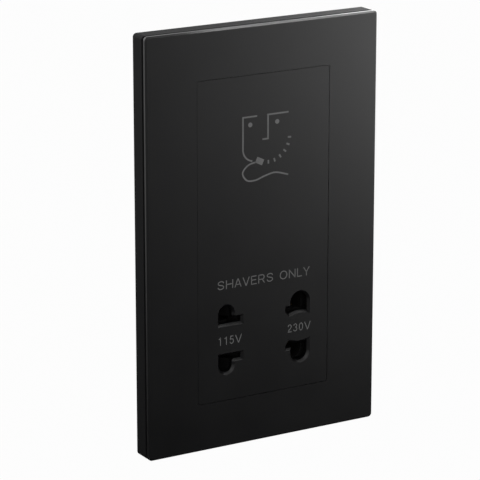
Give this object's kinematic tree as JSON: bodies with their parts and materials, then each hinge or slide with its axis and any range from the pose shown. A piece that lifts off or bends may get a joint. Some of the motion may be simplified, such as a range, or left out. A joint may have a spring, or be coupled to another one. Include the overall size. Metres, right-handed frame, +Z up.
{
  "type": "shaver socket",
  "caption": "Upright black wall plate with a flush centre panel, shaped pin slots for shaver plugs, a sliding interlock shutter and an isolating transformer housing behind.",
  "frame": {"origin": "wall plane, midway between the two fixing holes", "axes": "+Z up along the line of the fixing holes, +Y into the wall, the plate faces -Y, +X to the right"},
  "size_m": [0.09, 0.0405, 0.146],
  "materials": {
    "satin_black_panel": "satin moulded polycarbonate",
    "black_base": "fine spark texture",
    "black_shutter": "smooth moulded",
    "grey_housing": "fine spark texture",
    "black_carrier": "glass-filled moulding",
    "contact_brass": "stamped",
    "terminal_brass": "machined",
    "spring_steel": "drawn wire",
    "zinc_screw": "zinc plated",
    "core_steel": "varnished",
    "band_steel": "zinc plated",
    "bobbin_nylon": "moulded",
    "tinned_pin": "tinned",
    "primary_copper": "enamelled",
    "secondary_copper": "enamelled",
    "cutout_resin": "moulded",
    "brown_lead": "PVC sleeve",
    "blue_lead": "PVC sleeve",
    "white_lead": "PVC sleeve"
  },
  "bodies": {
    "socket": {"cover_plate": "satin_black_panel", "socket_insert": "satin_black_panel", "base_frame": "black_base", "rear_housing": "grey_housing", "contact_carrier": "black_carrier", "contact_retainer": "black_carrier", "contact_115v": "contact_brass", "contact_230v": "contact_brass", "contact_common": "contact_brass", "switch_strip_supply": "contact_brass", "switch_strip_load": "contact_brass", "supply_terminals": "terminal_brass", "parking_terminal": "terminal_brass", "shutter_spring_left": "spring_steel", "shutter_spring_right": "spring_steel", "housing_screws": "zinc_screw", "terminal_screws": "zinc_screw", "core_laminations": "core_steel", "core_band": "band_steel", "bobbin": "bobbin_nylon", "bobbin_pins": "tinned_pin", "primary_winding": "primary_copper", "secondary_winding": "secondary_copper", "thermal_cutout": "cutout_resin", "lead_live": "brown_lead", "lead_switched": "brown_lead", "lead_cutout": "brown_lead", "lead_neutral": "blue_lead", "lead_common": "white_lead", "lead_115v": "white_lead", "lead_230v": "white_lead"},
    "shutter": {"shutter_plate": "black_shutter", "switch_bridge": "contact_brass"}
  },
  "joints": [
    {"name": "shutter_slide", "type": "slide", "parent": "socket", "child": "shutter", "axis": [1, 0, 0], "range_m": [-0.0028, 0.0028], "stiffness_N_per_m": 150, "deforming": ["shutter_spring_left", "shutter_spring_right"]}
  ]
}
